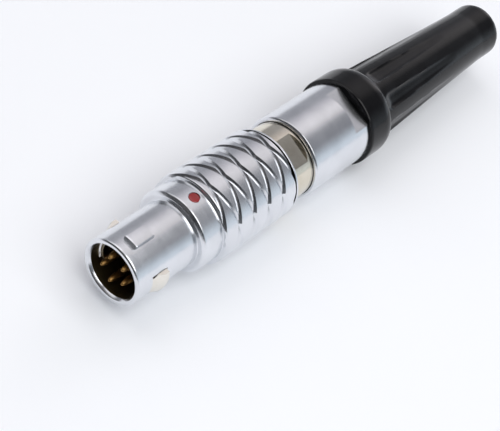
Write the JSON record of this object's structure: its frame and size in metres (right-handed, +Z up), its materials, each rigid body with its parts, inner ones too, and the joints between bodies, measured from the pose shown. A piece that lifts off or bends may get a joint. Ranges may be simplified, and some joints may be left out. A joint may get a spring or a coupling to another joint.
{
  "type": "push pull circular connector",
  "caption": "Straight push-pull cable plug with latch fingers, cross-cut release grip, collet nut and a tapered bend relief.",
  "frame": {"origin": "centre of the base of the lying plug: under the middle of its length, on the surface it lies on", "axes": "+X along the plug's axis from the mouth of the nose to the cable end, +Z up through the index key"},
  "size_m": [0.0748, 0.0122, 0.0122],
  "materials": {
    "satin_chrome": "satin chrome plate on turned brass",
    "champagne_nickel": "pale gold nickel plate on turned brass",
    "gold_plate": "bright gold plate",
    "red_lacquer": "paint set in a drilled recess",
    "peek": "machined brown insulating plastic",
    "black_elastomer": "glossy moulded black elastomer"
  },
  "bodies": {
    "core": {"latch_sleeve": "champagne_nickel", "insulator": "peek", "contact_1": "gold_plate", "contact_2": "gold_plate", "contact_3": "gold_plate", "contact_4": "gold_plate", "contact_5": "gold_plate", "carrier_half_upper": "champagne_nickel", "carrier_half_lower": "champagne_nickel", "collet": "champagne_nickel", "collet_nut": "satin_chrome", "bend_relief": "black_elastomer"},
    "release_shell": {"outer_shell": "satin_chrome", "index_dot": "red_lacquer"},
    "finger_left": {"latch_finger_left": "champagne_nickel"},
    "finger_right": {"latch_finger_right": "champagne_nickel"}
  },
  "joints": [
    {"name": "release_slide", "type": "slide", "parent": "core", "child": "release_shell", "axis": [1, 0, 0], "range_m": [0, 0.001], "stiffness_N_per_m": 300, "springref_m": -0.001},
    {"name": "finger_left_flex", "type": "hinge", "parent": "core", "child": "finger_left", "pos_m": [-0.0268, 0.00328, 0.0061], "axis": [0, 0, 1], "range_deg": [0, 5.26]},
    {"name": "finger_right_flex", "type": "hinge", "parent": "core", "child": "finger_right", "pos_m": [-0.0268, -0.00328, 0.0061], "axis": [0, 0, -1], "range_deg": [0, 5.26]}
  ],
  "couplings": [
    {"joint": "finger_left_flex", "follows": "release_slide", "rad_per_m": 90.909},
    {"joint": "finger_right_flex", "follows": "release_slide", "rad_per_m": 90.909}
  ]
}
